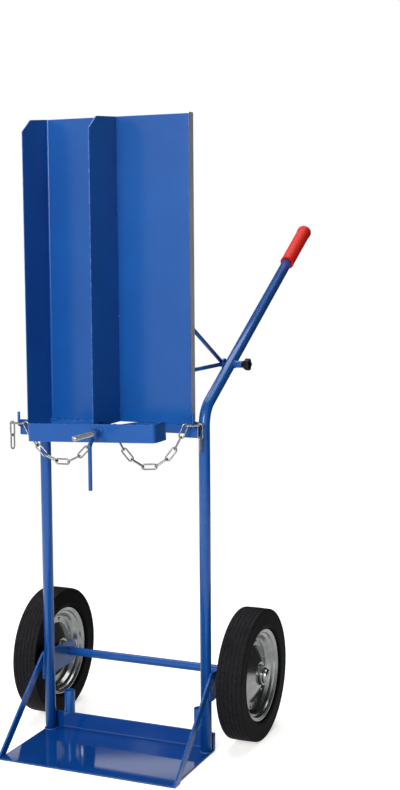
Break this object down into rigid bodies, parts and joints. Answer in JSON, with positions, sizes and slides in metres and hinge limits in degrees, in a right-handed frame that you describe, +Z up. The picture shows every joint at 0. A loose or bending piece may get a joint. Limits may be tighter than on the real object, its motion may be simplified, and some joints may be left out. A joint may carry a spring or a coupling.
{
  "type": "gas cylinder trolley",
  "caption": "Two-wheeled steel trolley for gas cylinders: bent side tubes with red grips, toe plate, upright shield panel with centre fin, screw clamp bar and retaining chain.",
  "frame": {"origin": "on the floor under the toe plate, midway between the side tubes and in the plane of their axes", "axes": "+X to the trolley's right seen from the front, +Y back towards the handles, +Z up"},
  "size_m": [0.6036, 0.9517, 1.4254],
  "materials": {
    "blue_paint": "glossy mid-blue paint over sheet and tube",
    "bare_metal": "smooth bare metal strip, half glossy",
    "zinc_plate": "bright zinc plate",
    "tyre_rubber": "black tyre rubber, half matt",
    "black_plastic": "moulded black plastic",
    "red_grip": "soft red vinyl, glossy"
  },
  "bodies": {
    "frame": {"toe_plate": "blue_paint", "side_tube_left": "blue_paint", "side_tube_right": "blue_paint", "brace_left": "blue_paint", "brace_right": "blue_paint", "axle_bracket_left": "blue_paint", "axle_bracket_right": "blue_paint", "rear_socket_left": "blue_paint", "rear_socket_right": "blue_paint", "panel_lug_left": "blue_paint", "panel_lug_right": "blue_paint", "strut_left": "blue_paint", "strut_right": "blue_paint", "strut_nut_left": "blue_paint", "strut_nut_right": "blue_paint", "knob_boss_left": "blue_paint", "knob_boss_right": "blue_paint", "chain_hook_left": "blue_paint", "chain_hook_right": "blue_paint", "axle": "blue_paint", "cradle_bar": "blue_paint", "shield_panel": "blue_paint", "centre_fin": "blue_paint", "edge_strip": "bare_metal", "axle_washers": "zinc_plate", "axle_caps": "zinc_plate", "clamp_stud": "zinc_plate", "chain_centre_link": "zinc_plate", "chain_end_links": "zinc_plate", "axle_spacers": "black_plastic", "grip_left": "red_grip", "grip_right": "red_grip"},
    "left_wheel": {"tyre_left": "tyre_rubber", "rim_outer_left": "zinc_plate", "rim_inner_left": "zinc_plate", "rim_rivets_left": "zinc_plate", "hub_left": "zinc_plate", "bearings_left": "black_plastic"},
    "right_wheel": {"tyre_right": "tyre_rubber", "rim_outer_right": "zinc_plate", "rim_inner_right": "zinc_plate", "rim_rivets_right": "zinc_plate", "hub_right": "zinc_plate", "bearings_right": "black_plastic"},
    "clamp_arm": {"clamp_bar": "blue_paint", "clamp_washer": "blue_paint"},
    "clamp_handle_nut": {"clamp_nut": "blue_paint", "clamp_lever": "blue_paint"},
    "left_knob": {"knob_left": "black_plastic", "knob_screw_left": "zinc_plate"},
    "right_knob": {"knob_right": "black_plastic", "knob_screw_right": "zinc_plate"},
    "left_chain": {"chain_left": "zinc_plate"},
    "right_chain": {"chain_right": "zinc_plate"},
    "left_chain_tail": {"chain_tail_left": "zinc_plate"},
    "right_chain_tail": {"chain_tail_right": "zinc_plate"}
  },
  "joints": [
    {"name": "left_wheel_roll", "type": "hinge", "parent": "frame", "child": "left_wheel", "pos_m": [-0.26, 0.133, 0.1525], "axis": [1, 0, 0], "continuous": true},
    {"name": "right_wheel_roll", "type": "hinge", "parent": "frame", "child": "right_wheel", "pos_m": [0.26, 0.133, 0.1525], "axis": [1, 0, 0], "continuous": true},
    {"name": "clamp_travel", "type": "slide", "parent": "frame", "child": "clamp_arm", "axis": [0, -1, 0], "range_m": [0, 0.077]},
    {"name": "clamp_nut_turn", "type": "hinge", "parent": "clamp_arm", "child": "clamp_handle_nut", "pos_m": [0.014, -0.165, 0.74136], "axis": [0, -1, 0], "range_deg": [0, 15840]},
    {"name": "left_knob_turn", "type": "hinge", "parent": "frame", "child": "left_knob", "pos_m": [-0.239, 0.15588, 0.869], "axis": [-1, 0, 0], "range_deg": [-90, 90]},
    {"name": "right_knob_turn", "type": "hinge", "parent": "frame", "child": "right_knob", "pos_m": [0.239, 0.15588, 0.869], "axis": [1, 0, 0], "range_deg": [-90, 90]},
    {"name": "left_chain_swing", "type": "hinge", "parent": "frame", "child": "left_chain", "pos_m": [-0.00223, -0.11195, 0.74941], "axis": [-0.9967, -0.0809, 0], "range_deg": [-10, 6]},
    {"name": "right_chain_swing", "type": "hinge", "parent": "frame", "child": "right_chain", "pos_m": [0.02974, -0.10918, 0.74941], "axis": [0.9066, 0.422, 0], "range_deg": [-10, 10]},
    {"name": "left_tail_swing", "type": "hinge", "parent": "frame", "child": "left_chain_tail", "pos_m": [-0.2102, -0.12881, 0.74941], "axis": [-0.0809, 0.9967, 0], "range_deg": [-10, 12]},
    {"name": "right_tail_swing", "type": "hinge", "parent": "frame", "child": "right_chain_tail", "pos_m": [0.20273, -0.02864, 0.74941], "axis": [0.422, -0.9066, 0], "range_deg": [-5, 12]}
  ],
  "couplings": [
    {"joint": "clamp_nut_turn", "follows": "clamp_travel", "rad_per_m": 3590.4}
  ]
}
